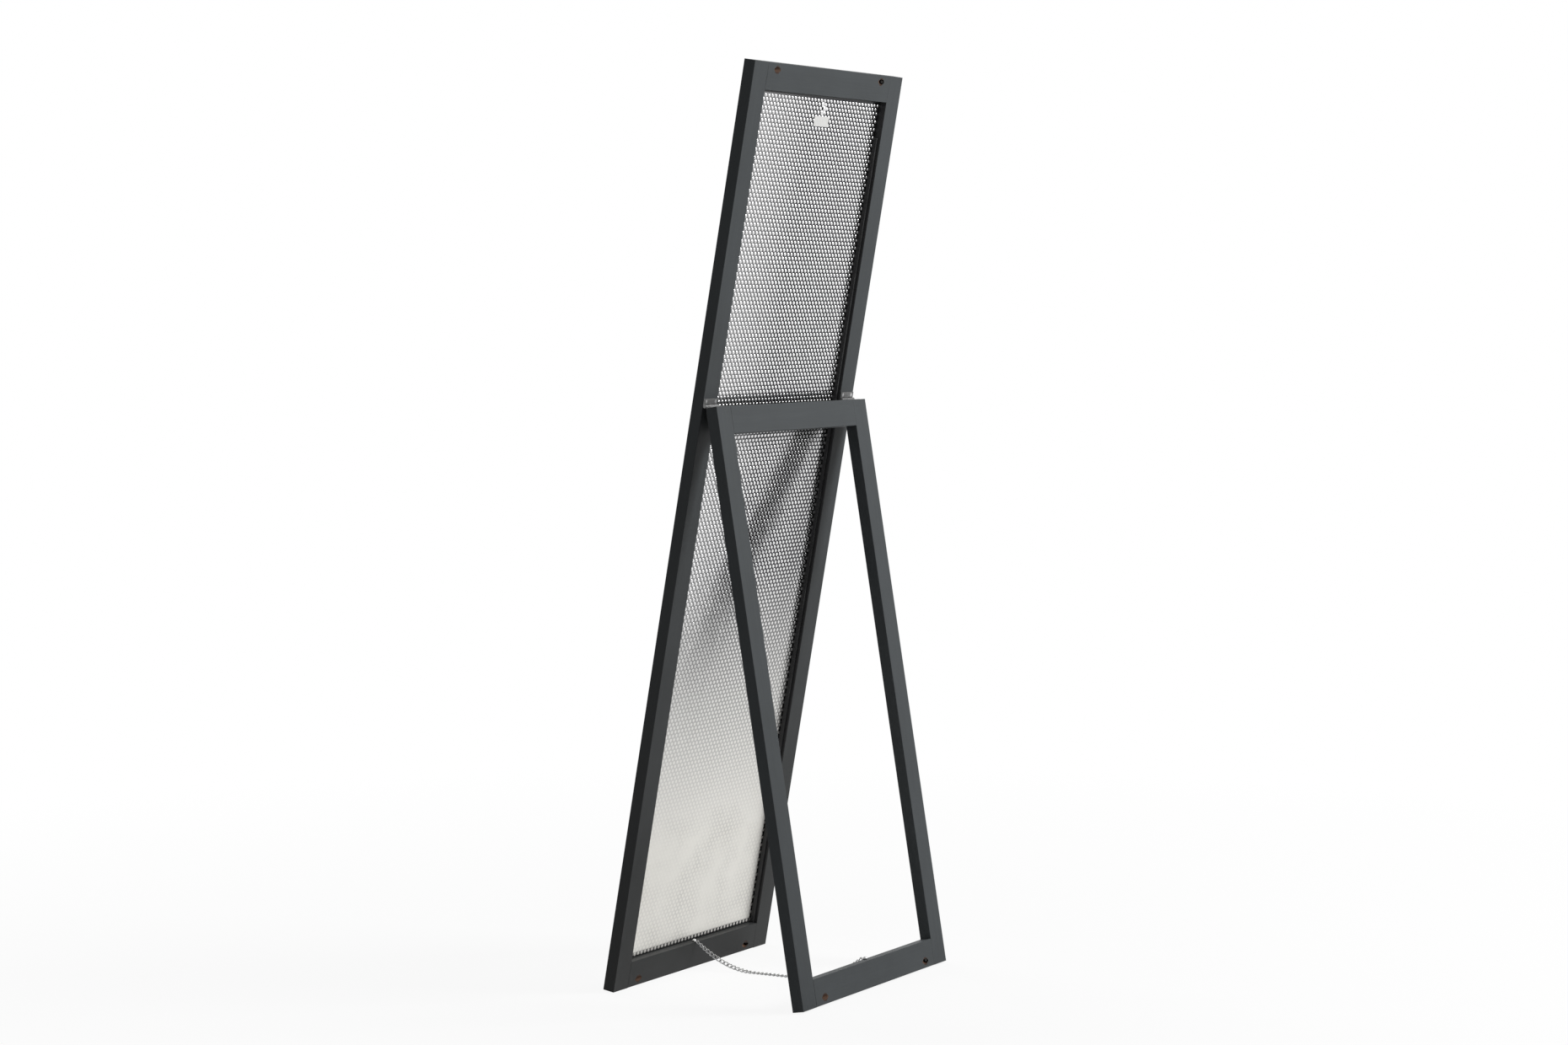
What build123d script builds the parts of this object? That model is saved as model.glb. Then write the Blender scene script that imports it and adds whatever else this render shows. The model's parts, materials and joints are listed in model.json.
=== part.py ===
"""A floor mirror that stands on a folding leg.

A rebated wooden frame holds the glass, which is backed with metallised bubble foil. A second, shorter frame is
hinged to its back as a leg, and a slack twisted-link chain ties the two bottom rails together.

Sizes are in millimetres. X runs across the mirror, its front faces -Y and +Z is up. The origin is on the floor,
under the middle of the whole object. Left and right are as seen from the front.
"""
from build123d import *
from math import acos, atan2, ceil, cos, degrees, hypot, radians, sin
import os

# Mirror frame
frame_width = 450.0
frame_height = 1370.0
stile_width = 40.0
rail_width = 40.0
frame_thickness = 18.0
lip_width = 7.0
lip_thickness = 3.0
lean_angle = 10.1
edge_ease = 0.8

# Glass and backing
glass_thickness = 3.0
glass_clearance = 1.0
foil_thickness = 1.6
foil_clearance = 2.0
batten_width = 4.0
batten_thickness = 6.0
batten_top_gap = 55.0
brad_radius = 0.6
brad_bite = 8.0
brad_count = 4
brad_end_margin = 40.0
label_width = 43.0
label_height = 15.0
label_thickness = 0.2
label_drop = 38.0
label_shift = -11.0

# Leg frame
leg_length = 869.5
leg_stile_width = 40.0
leg_rail_width = 40.0
leg_thickness = 18.0
hinge_rise = 4.7

# Corner joints
pocket_radius = 3.75
pocket_angle = 24.0
pocket_offset = 27.0
pocket_edge_margin = 10.0
pocket_seat = 16.0
screw_shank_radius = 1.75
screw_head_radius = 3.4
screw_head_height = 2.0
screw_length = 25.0
screw_point = 4.0
dowel_radius = 3.0
dowel_length = 30.0
dowel_edge_margin = 28.0
hole_clearance = 0.05

# Butt hinges
hinge_length = 38.4
leaf_reach = 11.0
leaf_thickness = 1.2
knuckle_count = 5
knuckle_gap = 0.15
knuckle_clearance = 0.3
pin_radius = 1.2
pin_clearance = 0.05
pin_head_radius = 1.9
pin_head_length = 0.7
leg_setback = 2.0
leaf_screw_spacing = 26.0
leaf_screw_reach = 6.7
leaf_screw_radius = 1.4
leaf_screw_length = 13.0
leaf_screw_clearance = 0.1

# Chain
wire_radius = 0.8
link_inner_length = 7.2
link_inner_width = 3.6
link_play = 0.25
link_twist = 80.0
link_crown_step = 30.0
wire_sides = 6
chain_drop_reach = 98.0
chain_floor_gap = 0.1
floor_link_count = 6
anchor_edge_margin = 3.5
anchor_shank_radius = 1.5
anchor_head_radius = 3.2
anchor_head_height = 2.2
anchor_bite = 14.0
anchor_play = 0.1

half_width = frame_width / 2
frame_joint_x = half_width - stile_width
leg_joint_x = half_width - leg_stile_width
rebate_depth = frame_thickness - lip_thickness
knuckle_radius = pin_radius + pin_clearance + leaf_thickness
barrel_height = knuckle_radius + knuckle_clearance
leaf_screw_head_radius = leaf_screw_radius + leaf_thickness

# The hinges sit a little higher up the mirror frame than the leg is long. The pin lies barrel_height behind the
# frame, and the leg hangs from it and turns until its inner bottom edge meets the floor, which sets its angle.
lean = radians(lean_angle)
hinge_height = leg_length + hinge_rise
pin_y = hinge_height * sin(lean) + barrel_height * cos(lean)
pin_z = hinge_height * cos(lean) - barrel_height * sin(lean)
leg_drop = leg_length + barrel_height
leg_lean = acos(pin_z / hypot(leg_drop, leg_setback)) - atan2(leg_setback, leg_drop)
foot_y = pin_y + leg_drop * sin(leg_lean) + leg_setback * cos(leg_lean)

# Both frames stand on their inner bottom edges, so the frame's front and the leg's back set the depth.
front_y = -frame_thickness * cos(lean)
back_y = foot_y + leg_thickness * cos(leg_lean)
middle_y = (front_y + back_y) / 2

# On both planes x runs across, y runs up the frame and z runs from its back face to its front.
frame_plane = Plane(
    origin=(0, -middle_y, 0),
    x_dir=(1, 0, 0),
    z_dir=(0, -cos(lean), sin(lean)),
)
leg_plane = Plane(
    origin=(0, back_y - middle_y, leg_thickness * sin(leg_lean)),
    x_dir=(1, 0, 0),
    z_dir=(0, -cos(leg_lean), -sin(leg_lean)),
)
pin_centre = Vector(0, pin_y - middle_y, pin_z)


def at(base, x, up, depth):
    """The point x across, up along the frame and depth in front of its back face."""
    return base.from_local_coords((x, up, depth))


def section_plane(base):
    """The plane of a stile's section, square to the frame's length: x runs across, y runs to the back."""
    return Plane(origin=base.origin, x_dir=base.x_dir, z_dir=base.y_dir)


def rail_plane(base, start_x):
    """The plane of a rail's section, square to X: x runs up the frame, y runs to the front."""
    return Plane(origin=at(base, start_x, 0, 0), x_dir=base.y_dir, z_dir=base.x_dir)


def pocket_plane(base, side, joint_x, up, face_depth, into):
    """The plane square to a pocket screw, where it enters the rail. It drives towards the stile on that side."""
    slope = radians(pocket_angle)
    drive = base.x_dir * (side * cos(slope)) + base.z_dir * (into * sin(slope))
    start = at(base, side * (joint_x - pocket_offset), up, face_depth)
    return Plane(origin=start, x_dir=base.y_dir, z_dir=drive)


def dowel_plane(base, side, joint_x, up, depth):
    """The plane square to a dowel, in the joint between a rail and a stile."""
    return Plane(origin=at(base, side * joint_x, up, depth), x_dir=base.y_dir, z_dir=base.x_dir)


def cut_pockets(planes):
    """Screw pockets with their pilot holes, cut from the part being built."""
    with Locations(*planes):
        Cylinder(
            radius=pocket_radius,
            height=2 * pocket_seat,
            mode=Mode.SUBTRACT,
        )
        Cylinder(
            radius=screw_shank_radius + hole_clearance,
            height=pocket_seat + screw_length + hole_clearance,
            align=(Align.CENTER, Align.CENTER, Align.MIN),
            mode=Mode.SUBTRACT,
        )


def cut_dowel_holes(planes):
    """Dowel holes across a joint, cut from the part being built."""
    with Locations(*planes):
        Cylinder(
            radius=dowel_radius + hole_clearance,
            height=dowel_length + 2 * glass_clearance,
            mode=Mode.SUBTRACT,
        )


# Joint places: bottom and top on each side
frame_screw_ups = (pocket_edge_margin, frame_height - pocket_edge_margin)
frame_dowel_ups = (dowel_edge_margin, frame_height - dowel_edge_margin)
leg_dowel_ups = (dowel_edge_margin, leg_length - dowel_edge_margin)


def frame_pockets(side, ups=frame_screw_ups):
    return [pocket_plane(frame_plane, side, frame_joint_x, up, 0, 1) for up in ups]


def frame_dowel_planes(side, ups=frame_dowel_ups):
    depth = rebate_depth / 2
    return [dowel_plane(frame_plane, side, frame_joint_x, up, depth) for up in ups]


def leg_bottom_pocket(side):
    return pocket_plane(leg_plane, side, leg_joint_x, pocket_edge_margin, 0, 1)


def leg_top_pocket(side):
    up = leg_length - pocket_edge_margin
    return pocket_plane(leg_plane, side, leg_joint_x, up, leg_thickness, -1)


def leg_dowel_planes(side, ups=leg_dowel_ups):
    depth = leg_thickness / 2
    return [dowel_plane(leg_plane, side, leg_joint_x, up, depth) for up in ups]


# Hinge planes: the origin is on the pin, y runs along the leaf and z away from the wood
def frame_leaf_plane(side):
    x = side * (half_width - stile_width / 2)
    outward = -frame_plane.z_dir
    return Plane(origin=pin_centre + Vector(x, 0, 0), x_dir=-frame_plane.x_dir, z_dir=outward)


def leg_leaf_plane(side):
    x = side * (half_width - leg_stile_width / 2)
    return Plane(origin=pin_centre + Vector(x, 0, 0), x_dir=leg_plane.x_dir, z_dir=leg_plane.y_dir)


def leaf_screw_planes(leaf_plane):
    """The planes of a leaf's two screws, on the leaf's outer face and looking out of the wood."""
    face = leaf_thickness - barrel_height
    return [
        Plane(
            origin=leaf_plane.from_local_coords((across, leaf_screw_reach, face)),
            x_dir=leaf_plane.x_dir,
            z_dir=leaf_plane.z_dir,
        )
        for across in (-leaf_screw_spacing / 2, leaf_screw_spacing / 2)
    ]


def cut_leaf_pilots(leaf_plane):
    """Pilot holes for a leaf's screws, cut from the part being built."""
    with Locations(*leaf_screw_planes(leaf_plane)):
        Cylinder(
            radius=leaf_screw_radius + hole_clearance,
            height=leaf_screw_length + hole_clearance,
            align=(Align.CENTER, Align.CENTER, Align.MAX),
            mode=Mode.SUBTRACT,
        )


# Battens and brads
batten_bottom = rail_width
batten_top = frame_height - rail_width - batten_top_gap
foil_face_depth = rebate_depth - glass_thickness - foil_thickness
batten_depth = foil_face_depth - batten_thickness
brad_first = batten_bottom + brad_end_margin
brad_pitch = (batten_top - batten_bottom - 2 * brad_end_margin) / (brad_count - 1)
brad_length = batten_width + brad_bite


def brad_planes(side):
    """The planes of the brads through one batten, on the batten's inner face and looking into the stile."""
    x = side * (frame_joint_x - batten_width)
    depth = batten_depth + batten_thickness / 2
    return [
        Plane(origin=at(frame_plane, x, brad_first + i * brad_pitch, depth), z_dir=(side, 0, 0))
        for i in range(brad_count)
    ]


def cut_brad_holes(side):
    with Locations(*brad_planes(side)):
        Cylinder(
            radius=brad_radius + hole_clearance,
            height=brad_length + hole_clearance,
            align=(Align.CENTER, Align.CENTER, Align.MIN),
            mode=Mode.SUBTRACT,
        )


# Chain anchors: round-head screws in the top faces of the two bottom rails, near their inner edges
wire_rest = wire_radius + link_play / 2
frame_anchor = Plane(
    origin=at(frame_plane, 0, rail_width, anchor_edge_margin),
    x_dir=frame_plane.x_dir,
    z_dir=frame_plane.y_dir,
)
leg_anchor = Plane(
    origin=at(leg_plane, 0, leg_rail_width, leg_thickness - anchor_edge_margin),
    x_dir=leg_plane.x_dir,
    z_dir=leg_plane.y_dir,
)


def cut_anchor_pilot(anchor):
    with Locations(anchor):
        Cylinder(
            radius=anchor_shank_radius + hole_clearance,
            height=anchor_bite + hole_clearance,
            align=(Align.CENTER, Align.CENTER, Align.MAX),
            mode=Mode.SUBTRACT,
        )


# Frame members
def make_frame_stile(side):
    """An upright of the mirror frame, rebated along its inner back edge."""
    outer = side * half_width
    inner = side * frame_joint_x
    lip = side * (frame_joint_x - lip_width)
    with BuildPart() as stile:
        with BuildSketch(section_plane(frame_plane)) as profile:
            with BuildLine():
                Polyline(
                    (outer, 0),
                    (outer, -frame_thickness),
                    (lip, -frame_thickness),
                    (lip, -rebate_depth),
                    (inner, -rebate_depth),
                    (inner, 0),
                    close=True,
                )
            make_face()
            arrises = [v for v in profile.vertices() if abs(v.Y + rebate_depth) > edge_ease]
            fillet(arrises, edge_ease)
        extrude(amount=frame_height)
        cut_pockets(frame_pockets(side))
        cut_dowel_holes(frame_dowel_planes(side))
        cut_brad_holes(side)
        cut_leaf_pilots(frame_leaf_plane(side))
    return stile


def make_frame_rail(outer_up, inward):
    """A rail of the mirror frame. Its lip is notched at both ends, where the stiles' lips run through."""
    inner_up = outer_up + inward * rail_width
    lip_up = inner_up + inward * lip_width
    screw_up = outer_up + inward * pocket_edge_margin
    dowel_up = outer_up + inward * dowel_edge_margin
    with BuildPart() as rail:
        with BuildSketch(rail_plane(frame_plane, -frame_joint_x)) as profile:
            with BuildLine():
                Polyline(
                    (outer_up, 0),
                    (outer_up, frame_thickness),
                    (lip_up, frame_thickness),
                    (lip_up, rebate_depth),
                    (inner_up, rebate_depth),
                    (inner_up, 0),
                    close=True,
                )
            make_face()
            arrises = [v for v in profile.vertices() if abs(v.Y - rebate_depth) > edge_ease]
            fillet(arrises, edge_ease)
        extrude(amount=2 * frame_joint_x)
        with BuildSketch(frame_plane.offset(rebate_depth)):
            for side in (-1, 1):
                notch_x = side * (frame_joint_x - lip_width / 2)
                with Locations((notch_x, (outer_up + lip_up) / 2)):
                    Rectangle(lip_width, abs(lip_up - outer_up))
        extrude(amount=lip_thickness, mode=Mode.SUBTRACT)
        for side in (-1, 1):
            cut_pockets(frame_pockets(side, [screw_up]))
            cut_dowel_holes(frame_dowel_planes(side, [dowel_up]))
        cut_anchor_pilot(frame_anchor)
    return rail


def make_leg_stile(side):
    """An upright of the leg. Its hinge leaf is screwed to its top end."""
    with BuildPart() as stile:
        with BuildSketch(section_plane(leg_plane)) as profile:
            with Locations((side * (half_width - leg_stile_width / 2), -leg_thickness / 2)):
                Rectangle(leg_stile_width, leg_thickness)
            fillet(profile.vertices(), edge_ease)
        extrude(amount=leg_length)
        cut_pockets([leg_bottom_pocket(side), leg_top_pocket(side)])
        cut_dowel_holes(leg_dowel_planes(side))
        cut_leaf_pilots(leg_leaf_plane(side))
    return stile


def make_leg_rail(outer_up, inward, pockets):
    """A rail of the leg."""
    dowel_up = outer_up + inward * dowel_edge_margin
    with BuildPart() as rail:
        with BuildSketch(rail_plane(leg_plane, -leg_joint_x)) as profile:
            with Locations((outer_up + inward * leg_rail_width / 2, leg_thickness / 2)):
                Rectangle(leg_rail_width, leg_thickness)
            fillet(profile.vertices(), edge_ease)
        extrude(amount=2 * leg_joint_x)
        cut_pockets(pockets)
        for side in (-1, 1):
            cut_dowel_holes(leg_dowel_planes(side, [dowel_up]))
        cut_anchor_pilot(leg_anchor)
    return rail


frame_left_stile = make_frame_stile(-1)
frame_right_stile = make_frame_stile(1)
frame_top_rail = make_frame_rail(frame_height, -1)
frame_bottom_rail = make_frame_rail(0, 1)
leg_left_stile = make_leg_stile(-1)
leg_right_stile = make_leg_stile(1)
leg_top_rail = make_leg_rail(leg_length, -1, [leg_top_pocket(-1), leg_top_pocket(1)])
leg_bottom_rail = make_leg_rail(0, 1, [leg_bottom_pocket(-1), leg_bottom_pocket(1)])


# Glass, foil and label
def make_sheet(depth, thickness, clearance):
    """A sheet that lies in the rebate, with its back face at that depth."""
    width = 2 * (frame_joint_x - clearance)
    height = frame_height - 2 * (rail_width + clearance)
    with BuildPart() as sheet:
        with BuildSketch(frame_plane.offset(depth)):
            with Locations((0, frame_height / 2)):
                Rectangle(width, height)
        extrude(amount=thickness)
    return sheet


mirror_glass = make_sheet(rebate_depth - glass_thickness, glass_thickness, glass_clearance)
bubble_foil = make_sheet(foil_face_depth, foil_thickness, foil_clearance)

with BuildPart() as label:
    with BuildSketch(frame_plane.offset(foil_face_depth - label_thickness)):
        with Locations((label_shift, frame_height - rail_width - label_drop)):
            Rectangle(label_width, label_height)
    extrude(amount=label_thickness)


def make_batten(side):
    """A batten in the corner between the foil and a stile. It stops short of the top rail."""
    with BuildPart() as batten:
        with BuildSketch(section_plane(frame_plane).offset(batten_bottom)):
            with Locations((side * (frame_joint_x - batten_width / 2), -foil_face_depth)):
                Rectangle(batten_width, batten_thickness, align=(Align.CENTER, Align.MIN))
        extrude(amount=batten_top - batten_bottom)
        cut_brad_holes(side)
    return batten


left_batten = make_batten(-1)
right_batten = make_batten(1)

with BuildPart() as batten_brads:
    for side in (-1, 1):
        with Locations(*brad_planes(side)):
            Cylinder(
                radius=brad_radius,
                height=brad_length,
                align=(Align.CENTER, Align.CENTER, Align.MIN),
            )


# Dowels and pocket screws
def make_dowels(planes):
    with BuildPart() as dowels:
        with Locations(*planes):
            Cylinder(radius=dowel_radius, height=dowel_length)
    return dowels


# Pan-head screw with its seat at the origin and its point up +Z
with BuildPart() as pocket_screw:
    with BuildSketch(Plane.XZ):
        with BuildLine():
            Polyline(
                (0, -screw_head_height),
                (screw_head_radius * 0.6, -screw_head_height),
                (screw_head_radius, -screw_head_height / 2),
                (screw_head_radius, 0),
                (screw_shank_radius, 0),
                (screw_shank_radius, screw_length - screw_point),
                (0, screw_length),
                close=True,
            )
        make_face()
    revolve(axis=Axis.Z)


def make_pocket_screws(planes):
    with BuildPart() as screws:
        with Locations(*[plane.offset(pocket_seat) for plane in planes]):
            add(pocket_screw.part)
    return screws


frame_dowels = make_dowels(frame_dowel_planes(-1) + frame_dowel_planes(1))
leg_dowels = make_dowels(leg_dowel_planes(-1) + leg_dowel_planes(1))
frame_screws = make_pocket_screws(frame_pockets(-1) + frame_pockets(1))
leg_screws = make_pocket_screws(
    [leg_bottom_pocket(-1), leg_bottom_pocket(1), leg_top_pocket(-1), leg_top_pocket(1)]
)


# Hinges: the frame's leaf has the odd knuckles and the leg's leaf has those between
def make_leaf(leaf_plane, first_knuckle):
    """A hinge leaf with every second knuckle, countersunk for two screws."""
    pitch = hinge_length / knuckle_count
    centres = [
        (i + 0.5) * pitch - hinge_length / 2
        for i in range(first_knuckle, knuckle_count, 2)
    ]
    across = Plane(origin=leaf_plane.origin, x_dir=leaf_plane.y_dir, z_dir=leaf_plane.x_dir)
    with BuildPart() as leaf:
        with BuildSketch(leaf_plane.offset(-barrel_height)):
            with Locations((0, (barrel_height + leaf_reach) / 2)):
                Rectangle(hinge_length, leaf_reach - barrel_height)
        extrude(amount=leaf_thickness)
        for centre in centres:
            with BuildSketch(across.offset(centre - pitch / 2 + knuckle_gap)):
                Circle(knuckle_radius)
                with Locations((0, -barrel_height)):
                    Rectangle(
                        barrel_height + leaf_thickness,
                        leaf_thickness,
                        align=(Align.MIN, Align.MIN),
                    )
            extrude(amount=pitch - 2 * knuckle_gap)
        with Locations(leaf_plane):
            Cylinder(
                radius=pin_radius + pin_clearance,
                height=2 * hinge_length,
                rotation=(0, 90, 0),
                mode=Mode.SUBTRACT,
            )
        with Locations(*leaf_screw_planes(leaf_plane)):
            CounterSinkHole(
                radius=leaf_screw_radius + leaf_screw_clearance,
                counter_sink_radius=leaf_screw_head_radius + leaf_screw_clearance,
                depth=leaf_thickness * 2,
                counter_sink_angle=90,
            )
    return leaf


def make_hinge_pin(side):
    """A hinge pin with a rounded head at each end of the barrel."""
    head_start = hinge_length / 2
    with BuildPart() as pin:
        with BuildSketch(frame_leaf_plane(side)):
            with BuildLine():
                Polyline(
                    (-head_start, pin_radius),
                    (head_start, pin_radius),
                    (head_start, pin_head_radius),
                    (head_start + pin_head_length / 2, pin_head_radius),
                    (head_start + pin_head_length, pin_head_radius / 2),
                    (head_start + pin_head_length, 0),
                    (-head_start - pin_head_length, 0),
                    (-head_start - pin_head_length, pin_head_radius / 2),
                    (-head_start - pin_head_length / 2, pin_head_radius),
                    (-head_start, pin_head_radius),
                    close=True,
                )
            make_face()
        revolve(axis=Axis(frame_leaf_plane(side).origin, (1, 0, 0)))
    return pin


left_hinge_frame_leaf = make_leaf(frame_leaf_plane(-1), 0)
right_hinge_frame_leaf = make_leaf(frame_leaf_plane(1), 0)
left_hinge_leg_leaf = make_leaf(leg_leaf_plane(-1), 1)
right_hinge_leg_leaf = make_leaf(leg_leaf_plane(1), 1)
left_hinge_pin = make_hinge_pin(-1)
right_hinge_pin = make_hinge_pin(1)

# Countersunk screw with its head flush at the origin and its point down -Z
with BuildPart() as leaf_screw:
    with BuildSketch(Plane.XZ):
        with BuildLine():
            Polyline(
                (0, 0),
                (leaf_screw_head_radius, 0),
                (leaf_screw_radius, leaf_screw_radius - leaf_screw_head_radius),
                (leaf_screw_radius, -leaf_screw_length + 2 * leaf_screw_radius),
                (0, -leaf_screw_length),
                close=True,
            )
        make_face()
    revolve(axis=Axis.Z)


def make_leaf_screws(leaf_planes):
    with BuildPart() as screws:
        for leaf_plane in leaf_planes:
            with Locations(*leaf_screw_planes(leaf_plane)):
                add(leaf_screw.part)
    return screws


frame_hinge_screws = make_leaf_screws([frame_leaf_plane(-1), frame_leaf_plane(1)])
leg_hinge_screws = make_leaf_screws([leg_leaf_plane(-1), leg_leaf_plane(1)])

# Chain. Each twisted link is a racetrack of wire whose ends are turned against each other, so that the links
# lie flat beside each other, each end crossing the next one's.
crown_radius = link_inner_width / 2 + wire_radius
crown_centre = link_inner_length / 2 + wire_radius - crown_radius
link_pitch = link_inner_length - link_play


def wire_section(angle, side, twist):
    """The plane square to a link's wire, at an angle round its half: 0 is the right end and 180 the left."""
    turn = radians(angle)
    centre = crown_centre if angle <= 90 and side > 0 else -crown_centre
    along = centre + crown_radius * cos(turn)
    across = crown_radius * sin(turn)
    rate = radians(twist) / 2 / (crown_centre + crown_radius)
    roll = rate * along
    step_along = -sin(turn)
    step_across = cos(turn)
    tangent = Vector(
        step_along,
        step_across * cos(roll) - across * rate * step_along * sin(roll),
        step_across * sin(roll) + across * rate * step_along * cos(roll),
    )
    outward = Vector(0, -sin(roll), cos(roll))
    return Plane(
        origin=(along, across * cos(roll), across * sin(roll)),
        x_dir=outward,
        z_dir=tangent,
    )


def make_link(twist):
    """One link about the origin, along X: two half turns of faceted wire, joined at their ends."""
    quarter = [i * link_crown_step for i in range(round(90 / link_crown_step) + 1)]
    right_half = [wire_section(angle, 1, twist) for angle in quarter]
    left_half = [wire_section(180 - angle, -1, twist) for angle in reversed(quarter)]
    with BuildPart() as half:
        for plane in right_half + left_half:
            with BuildSketch(plane):
                RegularPolygon(wire_radius, wire_sides)
        loft(ruled=True)
    with BuildPart() as link:
        add(half.part)
        add(half.part, rotation=(180, 0, 0))
    return link


def chain_point(anchor, outward, run):
    """The point on a rail's top face that lies run beyond the anchor screw, lifted by the wire's radius."""
    return anchor.origin + anchor.z_dir * wire_rest + outward * run


frame_outward = -frame_plane.z_dir
leg_outward = leg_plane.z_dir
end_link_run = link_inner_length / 2 - anchor_shank_radius - anchor_play
pivot_run = end_link_run + link_pitch / 2
frame_pivot = chain_point(frame_anchor, frame_outward, pivot_run)
leg_pivot = chain_point(leg_anchor, leg_outward, pivot_run)
twisted_link = make_link(link_twist)
flat_link = make_link(0)
chain_rest_z = twisted_link.part.bounding_box().max.Z + chain_floor_gap

# The chain hangs in a parabola from each rail and lies on the floor between
with BuildLine(Plane.YZ) as chain_line:
    frame_touch = (frame_pivot.Y + chain_drop_reach, chain_rest_z)
    leg_touch = (leg_pivot.Y - chain_drop_reach, chain_rest_z)
    Bezier(
        (frame_pivot.Y, frame_pivot.Z),
        (frame_pivot.Y + chain_drop_reach / 2, chain_rest_z),
        frame_touch,
    )
    Line(frame_touch, leg_touch)
    Bezier(
        leg_touch,
        (leg_pivot.Y - chain_drop_reach / 2, chain_rest_z),
        (leg_pivot.Y, leg_pivot.Z),
    )
chain_path = chain_line.wire()
link_count = ceil(chain_path.length / link_pitch)
link_spacing = chain_path.length / link_count
drop_length = chain_path.edges().sort_by(Axis.Y)[0].length


def link_plane(start, end, roll):
    """Where a link lies between two points of the chain, rolled about its length."""
    along = (end - start).normalized()
    upward = Vector(1, 0, 0).cross(along)
    turn = radians(roll)
    lift = upward * cos(turn) + Vector(1, 0, 0) * sin(turn)
    return Plane(origin=(start + end) * 0.5, x_dir=along, z_dir=lift)


def link_roll(index):
    """The links lie flat on the floor, and turn as they rise until they cross each rail's flat end link."""
    run = (index + 0.5) * link_spacing
    from_floor = max(0, drop_length - run) - max(0, run - chain_path.length + drop_length)
    return (90 + link_twist / 2) * from_floor / drop_length


link_ends = [
    chain_path.position_at(i * link_spacing, position_mode=PositionMode.LENGTH)
    for i in range(link_count + 1)
]

first_floor_link = (link_count - floor_link_count) // 2
last_floor_link = first_floor_link + floor_link_count


def make_links(indices):
    """The twisted links with these numbers, counted from the mirror frame."""
    planes = [link_plane(link_ends[i], link_ends[i + 1], link_roll(i)) for i in indices]
    with BuildPart() as links:
        with Locations(*planes):
            add(twisted_link.part)
    return links


# The middle links rest on the floor, and the others lie beside them or hang
chain_floor_links = make_links(range(first_floor_link, last_floor_link))
chain_links = make_links([*range(first_floor_link), *range(last_floor_link, link_count)])


def make_end_link(anchor, outward):
    """The flat link that lies on a rail, round the shank of the anchor screw."""
    start = chain_point(anchor, outward, end_link_run - link_pitch / 2)
    end = chain_point(anchor, outward, pivot_run)
    with BuildPart() as link:
        with Locations(link_plane(start, end, 0)):
            add(flat_link.part)
    return link


# Round-head screw with the rail's face at the origin and its point down -Z
anchor_seat = 2 * wire_rest
anchor_dome_radius = (anchor_head_radius**2 + anchor_head_height**2) / (2 * anchor_head_height)
with BuildPart() as anchor_screw:
    with BuildSketch(Plane.XZ):
        with BuildLine():
            Polyline(
                (0, anchor_seat + anchor_head_height),
                (0, -anchor_bite),
                (anchor_shank_radius, -anchor_bite + 2 * anchor_shank_radius),
                (anchor_shank_radius, anchor_seat),
                (anchor_head_radius, anchor_seat),
            )
            RadiusArc(
                (anchor_head_radius, anchor_seat),
                (0, anchor_seat + anchor_head_height),
                -anchor_dome_radius,
            )
        make_face()
    revolve(axis=Axis.Z)


def make_anchor_screw(anchor):
    with BuildPart() as screw:
        with Locations(anchor):
            add(anchor_screw.part)
    return screw


chain_frame_end_link = make_end_link(frame_anchor, frame_outward)
chain_leg_end_link = make_end_link(leg_anchor, leg_outward)
chain_frame_screw = make_anchor_screw(frame_anchor)
chain_leg_screw = make_anchor_screw(leg_anchor)

pieces = {
    "frame_left_stile": frame_left_stile,
    "frame_right_stile": frame_right_stile,
    "frame_top_rail": frame_top_rail,
    "frame_bottom_rail": frame_bottom_rail,
    "mirror_glass": mirror_glass,
    "bubble_foil": bubble_foil,
    "left_batten": left_batten,
    "right_batten": right_batten,
    "batten_brads": batten_brads,
    "frame_dowels": frame_dowels,
    "frame_screws": frame_screws,
    "label": label,
    "left_hinge_frame_leaf": left_hinge_frame_leaf,
    "right_hinge_frame_leaf": right_hinge_frame_leaf,
    "left_hinge_pin": left_hinge_pin,
    "right_hinge_pin": right_hinge_pin,
    "frame_hinge_screws": frame_hinge_screws,
    "chain_frame_screw": chain_frame_screw,
    "chain_frame_end_link": chain_frame_end_link,
    "chain_links": chain_links,
    "chain_floor_links": chain_floor_links,
    "leg_left_stile": leg_left_stile,
    "leg_right_stile": leg_right_stile,
    "leg_top_rail": leg_top_rail,
    "leg_bottom_rail": leg_bottom_rail,
    "leg_dowels": leg_dowels,
    "leg_screws": leg_screws,
    "left_hinge_leg_leaf": left_hinge_leg_leaf,
    "right_hinge_leg_leaf": right_hinge_leg_leaf,
    "leg_hinge_screws": leg_hinge_screws,
    "chain_leg_screw": chain_leg_screw,
    "chain_leg_end_link": chain_leg_end_link,
}
os.makedirs("parts", exist_ok=True)
for name, piece in pieces.items():
    piece.part.label = name
    export_step(piece.part, f"parts/{name}.step")

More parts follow.
